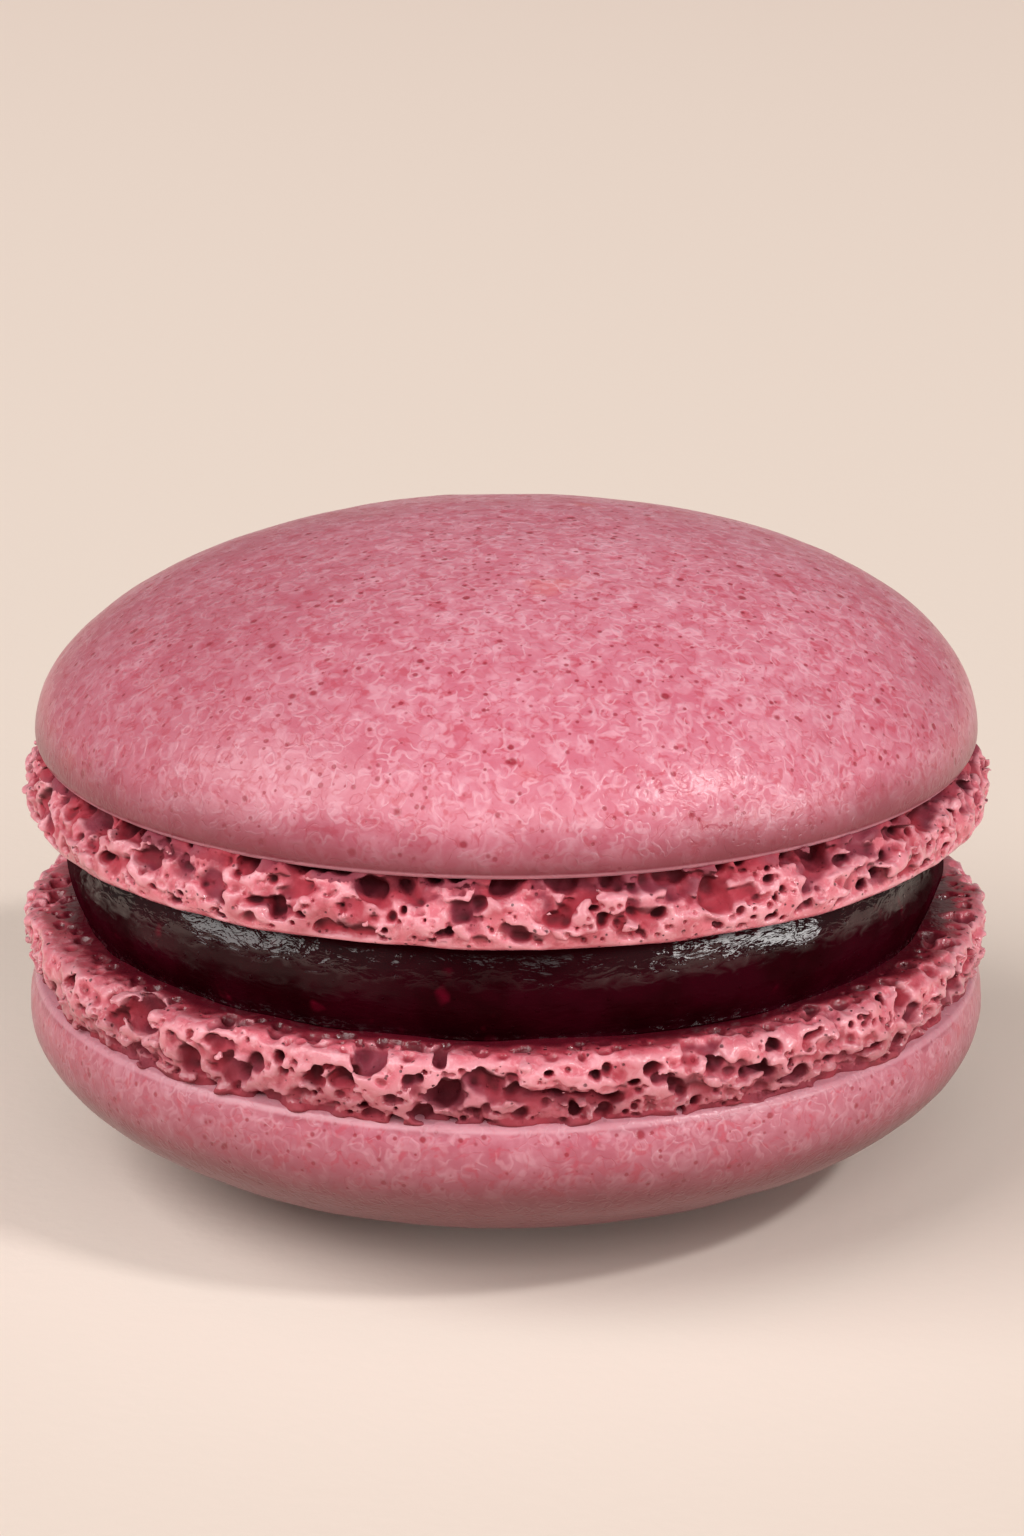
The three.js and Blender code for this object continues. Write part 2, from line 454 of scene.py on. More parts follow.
# Profiles are points of height above the shell's base and radius. The placed pores and bulges are
# the angle from the front in degrees, height, half width, half height, and depth or how proud.
upperFoot = {
    "profile": [
        (-0.4, 22.92), (0.0, 23.37), (0.5, 23.7), (1.4, 23.8),
        (2.2, 23.55), (2.8, 23.14), (3.2, 22.84), (3.8, 22.52),
    ],
    "top": 3.4,
    "capRadius": 23.0,
    "lift": 0.28,  # moves the placed pores up or down together
    "edgeRound": 0.35,
    "lipHeight": 0.9,
    "facePits": 0,
    "bulgesFrom": 0.9,
    "bulges": 560,
    "seed": 11,
    "frontPores": [
        (-62.3, 2.14, 0.66, 0.48, 0.9), (-56.1, 2.63, 1.42, 0.82, 1.3), (-48.6, 2.57, 0.79, 0.42, 1.0),
        (-44.2, 1.85, 0.71, 0.42, 0.7), (-38.8, 2.89, 0.19, 0.15, 0.4), (-35.9, 3.25, 0.35, 0.12, 0.4),
        (-35.4, 1.7, 1.0, 0.64, 0.5), (-29.6, 2.6, 0.64, 0.53, 0.9), (-28.6, 1.22, 0.8, 0.17, 0.5),
        (-26.7, 2.29, 0.41, 0.32, 0.9), (-23.5, 2.92, 0.5, 0.42, 1.2), (-21.6, 3.02, 0.49, 0.32, 1.2),
        (-18.9, 3.02, 0.48, 0.26, 0.7), (-16.1, 2.48, 0.28, 0.26, 0.6), (-15.2, 2.37, 0.79, 0.58, 1.2),
        (-11.6, 2.49, 0.77, 0.58, 1.2), (-11.2, 1.47, 0.18, 0.19, 0.5), (-8.7, 1.26, 0.16, 0.17, 0.5),
        (-14.4, 1.13, 0.28, 0.26, 0.3), (-8.0, 2.72, 0.27, 0.21, 0.7), (-5.7, 2.95, 0.62, 0.34, 0.5),
        (-5.7, 1.69, 0.53, 0.53, 0.6), (-0.1, 2.68, 0.88, 0.56, 1.3), (5.8, 1.22, 0.53, 0.33, 0.6),
        (6.3, 2.78, 0.71, 0.4, 0.6), (11.7, 2.66, 0.64, 0.42, 1.1), (14.5, 1.27, 0.83, 0.37, 0.5),
        (17.7, 2.8, 1.13, 0.5, 0.7), (19.3, 2.95, 0.26, 0.26, 1.1), (21.4, 3.15, 0.19, 0.12, 0.5),
        (23.5, 1.6, 0.62, 0.71, 1.2), (24.8, 2.79, 0.3, 0.32, 0.9), (27.2, 2.93, 0.31, 0.3, 0.9),
        (29.7, 3.1, 0.32, 0.16, 0.6), (33.0, 2.7, 0.45, 0.21, 0.8), (38.1, 2.5, 0.85, 0.71, 1.4),
        (52.0, 2.9, 0.26, 0.21, 0.6), (47.8, 1.59, 0.23, 0.16, 0.5), (58.0, 2.4, 0.9, 0.6, 1.2),
        (65.3, 2.8, 1.1, 0.5, 1.0),
    ],
    "frontBulges": [
        (-0.1, 2.45, 0.35, 0.3, -0.55), (26.0, 2.85, 0.3, 0.26, -0.1), (46.5, 2.55, 0.55, 0.45, 0.12),
        (54.0, 1.8, 0.6, 0.5, 0.12), (12.0, 1.85, 0.9, 0.4, 0.1), (-3.0, 0.9, 1.3, 0.45, 0.06),
        (29.5, 1.95, 0.8, 0.45, 0.12),
    ],
}
lowerFoot = {
    "profile": [
        (-0.4, 23.1), (0.0, 23.52), (0.4, 23.8), (1.2, 23.95),
        (2.0, 23.8), (2.6, 23.56), (3.3, 23.34), (3.8, 23.12),
    ],
    "top": 3.45,
    "capRadius": 23.6,
    "lift": 0.0,
    "edgeRound": 0.3,
    "lipHeight": 0.1,
    "facePits": 420,
    "bulgesFrom": 0.3,
    "bulges": 620,
    "seed": 29,
    "frontPores": [
        (-60.7, 0.75, 0.49, 0.21, 0.6), (-55.5, 0.1, 0.4, 0.21, 0.5), (-51.6, 0.06, 0.35, 0.21, 0.5),
        (-52.9, 2.18, 0.32, 0.19, 0.5), (-49.8, 1.53, 0.58, 0.64, 0.9), (-46.1, 0.8, 1.12, 0.9, 1.4),
        (-41.1, 0.05, 0.33, 0.26, 0.5), (-42.4, 1.91, 0.27, 0.48, 0.6), (-37.9, 1.98, 0.81, 0.69, 1.1),
        (-34.9, 0.61, 0.21, 0.19, 0.4), (-30.1, 0.38, 0.19, 0.19, 0.4), (-34.0, 1.01, 0.29, 0.21, 0.5),
        (-31.9, 1.99, 0.85, 0.69, 1.1), (-28.7, 1.24, 0.43, 0.42, 0.8), (-25.9, 0.93, 0.36, 0.37, 0.8),
        (-27.4, 0.12, 0.58, 0.22, 0.5), (-25.1, 1.45, 0.18, 0.19, 0.5), (-21.7, 1.57, 0.5, 0.64, 0.9),
        (-22.8, 2.47, 0.7, 0.48, 1.0), (-18.1, 1.27, 0.53, 0.37, 0.9), (-15.9, 2.61, 0.43, 0.16, 0.6),
        (-14.9, 0.34, 0.75, 0.55, 1.1), (-12.0, 2.49, 0.16, 0.17, 0.5), (-10.8, 2.74, 0.16, 0.17, 0.5),
        (-10.8, 0.05, 0.46, 0.19, 0.4), (-9.3, 0.87, 0.13, 0.21, 0.5), (-7.4, 0.25, 0.36, 0.32, 0.8),
        (-7.1, 1.68, 0.72, 0.74, 1.3), (-3.2, 2.63, 0.27, 0.24, 0.7), (-1.4, 1.1, 1.1, 0.5, 1.2),
        (1.0, 1.45, 0.6, 0.4, 1.0), (4.2, 1.64, 0.99, 0.24, 1.1), (8.5, 1.86, 1.0, 0.24, 1.1),
        (11.6, 2.05, 0.55, 0.24, 0.9), (1.8, 2.62, 0.4, 0.26, 0.7), (3.0, 2.1, 0.31, 0.16, 0.7),
        (7.3, 2.3, 0.23, 0.26, 0.7), (8.3, 0.1, 0.16, 0.17, 0.4), (9.8, 0.88, 0.18, 0.22, 0.5),
        (10.8, 2.79, 0.37, 0.21, 0.6), (15.8, 0.82, 0.52, 0.37, 1.1), (18.7, 1.78, 0.39, 0.37, 1.1),
        (17.1, 1.3, 0.57, 0.4, 0.7), (20.3, 0.1, 0.29, 0.26, 0.5), (21.4, 2.76, 0.25, 0.21, 0.5),
        (28.6, 1.55, 0.94, 0.38, 1.2), (30.4, 1.8, 0.33, 0.26, 1.0), (34.6, 2.3, 0.59, 0.48, 1.1),
        (39.1, 1.98, 0.77, 0.17, 0.7), (44.4, 2.19, 1.34, 0.19, 0.7), (42.0, 2.75, 0.54, 0.21, 0.6),
        (43.4, 0.02, 0.9, 0.22, 0.5), (43.9, 0.5, 0.25, 0.19, 0.5), (48.8, 0.37, 0.32, 0.32, 0.7),
        (52.6, 0.49, 0.45, 0.5, 0.7), (53.0, 1.54, 0.64, 0.32, 0.9), (51.3, 2.52, 0.69, 0.32, 0.8),
        (59.2, 0.15, 0.46, 0.21, 0.5),
    ],
    "frontBulges": [
        (3.6, 0.95, 1.2, 0.55, 0.16), (8.2, 1.25, 1.1, 0.52, 0.2), (11.4, 1.45, 0.7, 0.45, 0.16),
        (-3.6, 0.75, 0.8, 0.45, 0.12), (20.5, 0.95, 0.9, 0.5, 0.14), (25.5, 0.85, 1.0, 0.5, 0.16),
        (30.0, 0.95, 0.9, 0.45, 0.18), (37.0, 1.35, 1.1, 0.5, 0.16), (44.0, 1.55, 1.2, 0.45, 0.16),
        (-27.0, 0.5, 0.6, 0.35, 0.1), (-20.0, 0.75, 0.8, 0.35, 0.12), (-11.0, 1.0, 0.8, 0.5, 0.12),
        (-34.5, 1.35, 0.7, 0.3, 0.1),
    ],
}

# Pores drawn by chance: how many, half sizes, flatness and depth as shares of that, and soft edge
chancePores = {
    "large": {"count": 62, "half": (0.45, 1.15), "flat": (0.5, 0.85), "depth": (0.9, 1.5), "soft": 0.16},
    "medium": {"count": 330, "half": (0.16, 0.38), "flat": (0.55, 1.0), "depth": (1.2, 2.2), "soft": 0.12},
    "dimple": {"count": 520, "half": (0.22, 0.55), "flat": (0.5, 1.0), "depth": (0.35, 0.6), "soft": 0.14},
    "small": {"count": 1500, "half": (0.09, 0.17), "flat": (0.8, 1.1), "depth": (1.4, 2.4), "soft": 0.05},
}
frontEdge = 66  # degrees either side of the front, where the larger pores are placed one by one
twinShare = 0.35  # of the pores by chance, those with a smaller one beside them
footMiddle = 24  # radius for turning lengths along the foot into angles

# Bulges drawn by chance: half width, how far they stand out, flatness and slant
chanceBulges = {"half": (0.28, 0.8), "proud": (0.06, 0.38), "flat": (0.45, 0.8), "slant": 0.5}
bulgeDepth = 0.5

# Pits in the face that the jam lies on: where they are, half size, and width and height of that
facePits = {"radius": (21.9, 23.5), "half": (0.12, 0.42), "width": (0.7, 1.4), "height": (0.6, 1.2)}


def softLower(a, b, blend):
    part = np.clip(0.5 + 0.5 * (b - a) / blend, 0, 1)
    return b * (1 - part) + a * part - blend * part * (1 - part)


def softHigher(a, b, blend):
    return -softLower(-a, -b, blend)


# Weights that spread a row of chance values smoothly over an axis of the grid
def spread(count, length, feature, wraps):
    if wraps:
        cells = max(4, round(length / feature))
        spot = np.arange(count) * cells / count
    else:
        cells = int(math.ceil(length / feature)) + 4
        spot = 1 + np.arange(count) * length / feature / (count - 1)
    base = np.floor(spot).astype(int)
    t = spot - base
    weights = [(1 - t) ** 3, 3 * t**3 - 6 * t**2 + 4, -3 * t**3 + 3 * t**2 + 3 * t + 1, t**3]
    matrix = np.zeros((count, cells))
    for step, weight in enumerate(weights):
        np.add.at(matrix, (np.arange(count), (base - 1 + step) % cells), weight / 6)
    return matrix


def gridNoise(axes, feature, draw):
    around, out, up = axes
    first = spread(len(around), fullTurn * footMiddle, feature, True)
    second = spread(len(out), out[-1] - out[0], feature, False)
    third = spread(len(up), up[-1] - up[0], feature, False)
    lattice = draw.normal(size=[weights.shape[1] for weights in (first, second, third)])
    value = np.tensordot(first, lattice, (1, 0))
    value = np.tensordot(value, second, (1, 1))
    value = np.tensordot(value, third, (1, 1))
    return (value / value.std()).astype(np.float32)


# The part of the grid near a ball-like form, and how far each of its points is from the form
def nearForm(axes, angle, radius, height, halves, slant=0.0, margin=0.25):
    around, out, up = axes
    step = around[1] - around[0]
    reach = (max(halves[0], halves[2]) + margin) / radius
    middle = int(round(angle / step))
    span = int(math.ceil(reach / step))
    first = np.arange(middle - span, middle + span + 1)
    tall = max(halves[0], halves[2]) + margin if slant else halves[2] + margin
    second = np.nonzero(np.abs(out - radius) <= halves[1] + margin)[0]
    third = np.nonzero(np.abs(up - height) <= tall)[0]
    if not len(second) or not len(third):
        return None, None
    along = (first * step - angle) * radius
    rise = (up[third] - height)[None, None, :]
    along = along[:, None, None]
    depth = (out[second] - radius)[None, :, None]
    turnedAlong = along * math.cos(slant) + rise * math.sin(slant)
    turnedRise = -along * math.sin(slant) + rise * math.cos(slant)
    size = (turnedAlong / halves[0]) ** 2 + (depth / halves[1]) ** 2 + (turnedRise / halves[2]) ** 2
    size = np.sqrt(size)
    return np.ix_(first % len(around), second, third), (size - 1) * min(halves)


def addBulge(foam, rough, axes, angle, radius, height, halves, slant, blend):
    where, away = nearForm(axes, angle, radius, height, halves, slant, 0.45)
    if where is not None:
        foam[where] = softLower(foam[where], away + 0.03 * rough[where], blend)


def cutPore(foam, rough, axes, angle, radius, height, halves, slant, blend):
    where, away = nearForm(axes, angle, radius, height, halves, slant)
    if where is not None:
        away = away + rough[where] * min(0.13, 0.26 * min(halves))
        foam[where] = softHigher(foam[where], -away, blend)


# How far out the dough reaches at each angle and height
def reachOf(foam, axes):
    filled = foam < 0
    count = filled.shape[1]
    last = count - 1 - np.argmax(filled[:, ::-1, :], axis=1)
    return axes[1][last]


# Rounded bulges of dough, the chance ones first
def addBulges(bulge, up, side, foot, draw):
    for _ in range(foot["bulges"]):
        angle = draw.uniform(0, fullTurn)
        height = draw.uniform(foot["bulgesFrom"], foot["top"] - 0.3)
        half = draw.uniform(*chanceBulges["half"])
        radius = np.interp(height, up, side) + draw.uniform(*chanceBulges["proud"]) - bulgeDepth
        flat = half * draw.uniform(*chanceBulges["flat"])
        slant = draw.uniform(-chanceBulges["slant"], chanceBulges["slant"])
        bulge(angle, radius, height, (half, bulgeDepth, flat), slant, 0.1)
    for degrees, height, half, tall, proud in foot["frontBulges"]:
        radius = np.interp(height, up, side) + proud - bulgeDepth
        bulge(math.radians(degrees), radius, height, (half, bulgeDepth, tall), 0, 0.2)


# The pores placed one by one at the front, the larger ones with two nooks each
def cutPlacedPores(cut, surfaceAt, foot, draw):
    for degrees, height, half, tall, depth in foot["frontPores"]:
        angle = math.radians(degrees)
        height += foot["lift"]
        radius = surfaceAt(angle, max(height, 0.3)) - 0.15
        slant = draw.uniform(-0.15, 0.15)
        cut(angle, radius, height, (half, depth, tall), slant, 0.16)
        for _ in range(2 if half > 0.45 else 0):
            nook = half * draw.uniform(0.3, 0.55)
            beside = angle + draw.uniform(-0.8, 0.8) * half / footMiddle
            above = height + draw.uniform(-0.6, 0.6) * tall
            halves = (nook, depth * 0.9, min(nook, tall))
            cut(beside, radius, above, halves, 0, 0.08)


def cutChancePores(cut, surfaceAt, foot, draw):
    for kind, facts in chancePores.items():
        larger = kind in ("large", "medium")
        for _ in range(facts["count"]):
            angle = draw.uniform(-math.pi, math.pi)
            half = draw.uniform(*facts["half"])
            tall = half * draw.uniform(*facts["flat"])
            depth = half * draw.uniform(*facts["depth"])
            level = draw.uniform(0.05, 1) ** 0.8
            height = 0.15 + level * (foot["top"] - 0.45)
            slant = draw.uniform(-0.4, 0.4)
            twin = draw.uniform() < twinShare
            if kind == "large" and abs(math.degrees(angle)) < frontEdge:
                continue
            height = max(height, tall + 0.3) if larger else height
            radius = surfaceAt(angle, height) - 0.1 * larger
            cut(angle, radius, height, (half, depth, tall), slant, facts["soft"])
            if twin:
                angle += half * 1.3 / footMiddle
                halves = (half * 0.7, depth, tall * 0.8)
                cut(angle, radius, height + slant * half, halves, 0, facts["soft"])


def cutFacePits(cut, foot, draw):
    for _ in range(foot["facePits"]):
        angle = draw.uniform(0, fullTurn)
        radius = draw.uniform(*facePits["radius"])
        half = draw.uniform(*facePits["half"])
        wide = half * draw.uniform(*facePits["width"])
        halves = (wide, half, half * draw.uniform(*facePits["height"]))
        cut(angle, radius, 0.0, halves, 0, 0.08)


# The foot's foam, the same dough before any pore was cut, and the axes of the grid
def growFoam(foot):
    draw = np.random.default_rng(foot["seed"])
    step = foamGrid["step"]
    around = np.arange(foamGrid["around"]) * fullTurn / foamGrid["around"]
    out = np.arange(foamGrid["inner"] - 3 * step, foamGrid["outer"] + step / 2, step)
    up = np.arange(foamGrid["low"], foamGrid["high"] + step / 2, step)
    axes = (around, out, up)
    heights, radii = zip(*foot["profile"])
    side = np.interp(up, heights, radii)
    side = np.convolve(np.pad(side, 3, "edge"), np.ones(7) / 7, "valid")
    lumps = sum(size * gridNoise(axes, feature, draw) for feature, size in foamLumps)
    lumps *= np.interp(up, (0, foot["lipHeight"]), (0.3, 1))[None, None, :]
    rough = 0.85 * gridNoise(axes, 0.75, draw) + 0.5 * gridNoise(axes, 0.4, draw)
    foam = out[None, :, None] - side[None, None, :] - lumps
    foam = foam.astype(np.float32)
    addBulges(partial(addBulge, foam, rough, axes), up, side, foot, draw)

    # The solids' box, then the flat sides of the ring
    boxed = foamGrid["reach"] / np.maximum(np.abs(np.sin(around)), np.abs(np.cos(around)))
    foam = softHigher(foam, out[None, :, None] - boxed[:, None, None], 0.08)
    base = -up[None, None, :] + 0.05 * gridNoise(axes, 2.2, draw)
    foam = softHigher(foam, base, foot["edgeRound"])
    foam = softHigher(foam, up[None, None, :] - foot["top"], 0.1)
    whole = foam.copy()
    reach = reachOf(foam, axes)
    turn = around[1] - around[0]

    def surfaceAt(angle, height):
        column = int(round(angle / turn)) % len(around)
        level = int(np.clip(round((height - up[0]) / step), 0, len(up) - 1))
        return reach[column, level]

    cut = partial(cutPore, foam, rough, axes)
    cutPlacedPores(cut, surfaceAt, foot, draw)
    cutChancePores(cut, surfaceAt, foot, draw)
    cutFacePits(cut, foot, draw)
    foam = softHigher(foam, foamGrid["inner"] - out[None, :, None], 0.05)
    return foam, whole, axes


# Net of faces round the dough: one point in each cell that the surface passes through
def netOf(foam, axes):
    around, out, up = axes
    count = len(around)
    wrapped = np.concatenate([foam, foam[:1]], axis=0)
    corners = list(np.ndindex(2, 2, 2))

    def at(corner):
        i, j, k = corner
        return wrapped[i : count + i, j : len(out) - 1 + j, k : len(up) - 1 + k]

    inside = np.stack([at(corner) < 0 for corner in corners])
    filled = inside.sum(0)
    active = (filled > 0) & (filled < 8)
    number = np.full(active.shape, -1, np.int64)
    number[active] = np.arange(active.sum())
    values = {corner: at(corner)[active] for corner in corners}
    place = np.zeros((int(active.sum()), 3))
    hits = np.zeros(int(active.sum()))
    for corner in corners:
        for axis in range(3):
            if corner[axis]:
                continue
            other = tuple(1 if n == axis else c for n, c in enumerate(corner))
            a = values[corner]
            b = values[other]
            crossed = (a < 0) != (b < 0)
            share = np.where(crossed, a / np.where(crossed, a - b, 1), 0)
            spot = np.array(corner, float)[None] + share[:, None] * np.eye(3)[axis][None]
            place += np.where(crossed[:, None], spot, 0)
            hits += crossed
    place = place / hits[:, None] + np.argwhere(active)
    faces = []
    for axis in range(3):
        others = [n for n in range(3) if n != axis]
        crossed = (foam < 0) != (np.roll(foam, -1, axis) < 0)
        for n in (1, 2):
            edge = [slice(None)] * 3
            edge[n] = slice(-1, None)
            crossed[tuple(edge)] = False
            if n != axis:
                edge[n] = slice(0, 1)
                crossed[tuple(edge)] = False
        spots = np.argwhere(crossed)
        rising = foam[crossed] < 0
        ring = []
        for back, side in ((1, 1), (0, 1), (0, 0), (1, 0)):
            cell = spots.copy()
            cell[:, others[0]] -= back
            cell[:, others[1]] -= side
            cell[:, 0] %= count
            ring.append(number[cell[:, 0], cell[:, 1], cell[:, 2]])
        quads = np.stack(ring, 1)
        if axis == 1:
            rising = ~rising
        quads[rising] = quads[rising][:, ::-1]
        faces.append(quads)
    faces = np.concatenate(faces)
    angle, radius, height = (axis[0] + n * (axis[1] - axis[0]) for n, axis in zip(place.T, axes))
    points = np.stack([radius * np.sin(angle), -radius * np.cos(angle), height], 1)
    return points, faces


# Where each point lies on the grid, in steps along its axes
def gridSpots(points, axes):
    angle = np.arctan2(points[:, 0], -points[:, 1]) % fullTurn
    places = (angle, np.hypot(points[:, 0], points[:, 1]), points[:, 2])
    return np.stack([(n - axis[0]) / (axis[1] - axis[0]) for n, axis in zip(places, axes)], 1)


# A value of the grid at each point
def gridValue(points, grid, axes):
    spots = gridSpots(points, axes)
    base = np.floor(spots).astype(int)
    return blended(grid, base, spots - base)


# How much of the space near each spot of the grid is filled: half on a flat side, more in a hollow
def crowding(foam, foot, axes):
    around, out, up = axes
    filled = np.clip(0.5 - foam / foamGrid["step"], 0, 1)
    filled[np.ix_(range(len(around)), out < foot["capRadius"], up > foot["top"] - 0.15)] = 1
    filled[np.ix_(range(len(around)), out < jamFilling["radius"], up < 0)] = 1
    span = foamGrid["nearby"]
    for axis in range(3):
        for _ in range(2):
            total = filled.copy()
            for shift in range(1, span + 1):
                total += np.roll(filled, shift, axis) + np.roll(filled, -shift, axis)
            filled = total / (2 * span + 1)
    return filled


# How far each point lies behind the tallest dough near it
def behindNeighbours(points, whole, axes):
    reach = reachOf(whole, axes)
    span = foamGrid["neighbours"]
    tall = np.stack([np.roll(reach, shift, 0) for shift in range(-span, span + 1)]).max(0)
    padded = np.pad(tall, ((0, 0), (span, span)), "edge")
    tall = np.stack([padded[:, shift : shift + len(axes[2])] for shift in range(2 * span + 1)]).max(0)
    column, _, level = np.round(gridSpots(points, axes)).astype(int).T
    column %= len(axes[0])
    level = np.clip(level, 0, len(axes[2]) - 1)
    behind = tall[column, level] - np.hypot(points[:, 0], points[:, 1])
    return behind * np.clip((points[:, 2] - 0.35) / 0.3, 0, 1)


def signedVolume(points, faces):
    a, b, c, d = (points[faces[:, n]] for n in range(4))
    first = np.einsum("ij,ij->i", a, np.cross(b, c)).sum()
    second = np.einsum("ij,ij->i", a, np.cross(c, d)).sum()
    return (first + second) / 6


mostTriangles = 190000  # most triangles of a foot; one with more is thinned down to this


def makeFoot(name, foot, upper):
    foam, whole, axes = growFoam(foot)
    points, faces = netOf(foam, axes)
    if (signedVolume(points, faces) < 0) == upper:
        faces = faces[:, ::-1]
    raw = asMesh(name + "Raw", placed(points, upper), faces)
    triangles = 2 * len(faces)
    if triangles > mostTriangles:
        raw.modifiers.new("thin", "DECIMATE").ratio = mostTriangles / triangles
    graph = bpy.context.evaluated_depsgraph_get()
    mesh = bpy.data.meshes.new_from_object(raw.evaluated_get(graph))
    bpy.data.objects.remove(raw)
    mesh.name = name
    made = linked(name, mesh)
    mesh.polygons.foreach_set("use_smooth", np.ones(len(mesh.polygons), bool))
    local = eachPoint(mesh, "co") / metre
    local[:, 2] = local[:, 2] - layers["jamTop"] if upper else layers["jamBottom"] - local[:, 2]
    depth = -gridValue(local, whole, axes)
    giveValues(made, "depth", np.maximum(depth, 0.55 * behindNeighbours(local, whole, axes)))
    giveValues(made, "crowd", gridValue(local, crowding(foam, foot, axes), axes))
    giveValues(made, "down", -eachPoint(mesh, "normal")[:, 2])
    print(name, "has", len(mesh.polygons), "faces, from", triangles)
    return made


# Finish of the caps: satin baked meringue, finely mottled. Pairs are where something starts and ends.
capFinish = {
    "pink": (0.7, 0.245, 0.325),
    "pale": (0.84, 0.44, 0.53),
    "rose": (0.62, 0.15, 0.22),
    "crimson": (0.56, 0.075, 0.12),
    "red": (0.33, 0.008, 0.026),
    "blush": (0.7, 0.13, 0.12),
    "baked": (0.34, 0.066, 0.092),  # painted shade on its left and right sides
    "bakedLeft": (2.0, -22.0),
    "bakedRight": (12.0, 25.0),
    "bakedStrength": 0.45,
    # painted shade in a band just above the seam
    "seamShadeColour": (0.215, 0.03, 0.048),
    "seamShadeWidth": 3.0,
    "seamShadeStrength": 1.0,
    "lip": (0.36, 0.2),
    # painted shade towards where the lower cap rests on the table
    "base": (0.14, 0.018, 0.024),
    "baseShadeFade": (0.0, 4.6),
    "baseShadeStrength": 0.0,
    "roughness": 0.3,
    "relief": 0.042,
}
capPatterns = {
    "slow": (noise, 0.16, (0, 0, 0), 3.0, 0.6),
    "patches": (noise, 0.5, (31, 7, 3), 3.0, 0.55, 0.5),
    "breaks": (noise, 1.0, (9, 2, 8), 2.0),
    "blotches": (noise, 0.22, (70, 3, 21), 2.0),
    "grain": (noise, 2.6, (3, 61, 9), 3.0, 0.6),
    "paleLines": (strokes, 1.3, (5, 11, 40), 0.07, 0.7),
    "redLines": (strokes, 1.2, (50, 23, 14), 0.05, 0.8),
    "dots": (specks, 1.9, (0, 0, 0), 0.13, 0.5),
    "largeDots": (specks, 1.0, (3, 5, 9), 0.22, 0.3),
}
loosePatterns = {
    "mottle": (noise, 1.5, (12, 47, 33), 2.0, 0.55),
    "crimson": (noise, 1.7, (21, 3, 17), 2.0, 0.6),
    "largeRings": (rings, 0.62, (2, 4, 1), 0.36, 0.1, 0.5),
    "smallRings": (rings, 1.15, (8, 1, 6), 0.34, 0.12, 0.5),
}
brokenLines = {"paleLines": (0.46, 0.6), "redLines": (0.54, 0.42)}
capCoats = [
    ("mottle", (0.5, 0.34), 0.42, "rose"),
    ("mottle", (0.5, 0.7), 0.42, "pale"),
    ("slow", (0.62, 0.38), 0.3, "rose"),
    ("blotches", (0.66, 0.78), 0.5, "blush"),
    ("crimson", (0.55, 0.66), 0.68, "crimson"),
    ("redLines", None, 0.4, "crimson"),
    ("largeRings", None, 0.28, "pale"),
    ("smallRings", None, 0.32, "pale"),
    ("paleLines", None, 0.5, "pale"),
    ("dots", None, 0.75, "red"),
    ("largeDots", None, 0.85, "red"),
]
capRelief = {
    "mottle": 0.8,
    "largeRings": 0.25,
    "smallRings": 0.25,
    "paleLines": 0.25,
    "redLines": -0.25,
    "dots": -0.4,
    "largeDots": -0.5,
    "grain": 0.4,
}


def capMaterial(name, finish):
    material, tree, place = newMaterial(name)
    patterns = drawn(tree, capPatterns, place)
    patterns.update(drawn(tree, loosePatterns, bent(tree, place, 0.9, 0.9)))
    for name, limits in brokenLines.items():
        patterns[name] = scaled(tree, patterns[name], fade(tree, patterns["breaks"], *limits))
    patches = fade(tree, patterns["patches"], 0.3, 0.62)
    colour = over(tree, patches, finish["rose"], finish["pink"])
    colour = layered(tree, colour, capCoats, patterns, finish)

    # Painted shade on the sides, then painted shade in a band above the seam, the thin lip at it, and
    # painted shade at the base
    across = add(tree, "ShaderNodeSeparateXYZ", {0: place}).outputs[0]
    across = maths(tree, "ADD", across, stretched(tree, patterns["slow"], 16.0, -8.0))
    # Painted shade on both sides of the cap
    right = scaled(tree, fade(tree, across, *finish["bakedRight"]), 0.8)
    baked = maths(tree, "MAXIMUM", fade(tree, across, *finish["bakedLeft"]), right)
    colour = over(tree, scaled(tree, baked, finish["bakedStrength"]), colour, finish["baked"])
    fromSeam = carried(tree, "fromSeam")
    ragged = maths(tree, "ADD", fromSeam, stretched(tree, patterns["slow"], 1.6, -0.8))
    # Painted shade in a band above the seam
    seamShade = fade(tree, ragged, finish["seamShadeWidth"], 0.1)
    colour = over(tree, scaled(tree, seamShade, finish["seamShadeStrength"]), colour, finish["seamShadeColour"])
    lip = fade(tree, fromSeam, *finish["lip"])
    colour = over(tree, scaled(tree, lip, 0.6), colour, finish["pale"])
    # Painted shade away from the seam, towards where the lower cap rests on the table
    base = fade(tree, ragged, *finish["baseShadeFade"])
    colour = over(tree, scaled(tree, base, finish["baseShadeStrength"]), colour, finish["base"])

    normal = bumped(tree, mixed(tree, patterns, capRelief), finish["relief"] * metre)
    settings = {
        "Roughness": finish["roughness"],
        "Subsurface Weight": 0.12,
        "Subsurface Radius": (1.0, 0.35, 0.3),
        "Subsurface Scale": 0.0008,
        "Specular IOR Level": 0.5,
    }
    surface(tree, colour, normal, settings)
    return material
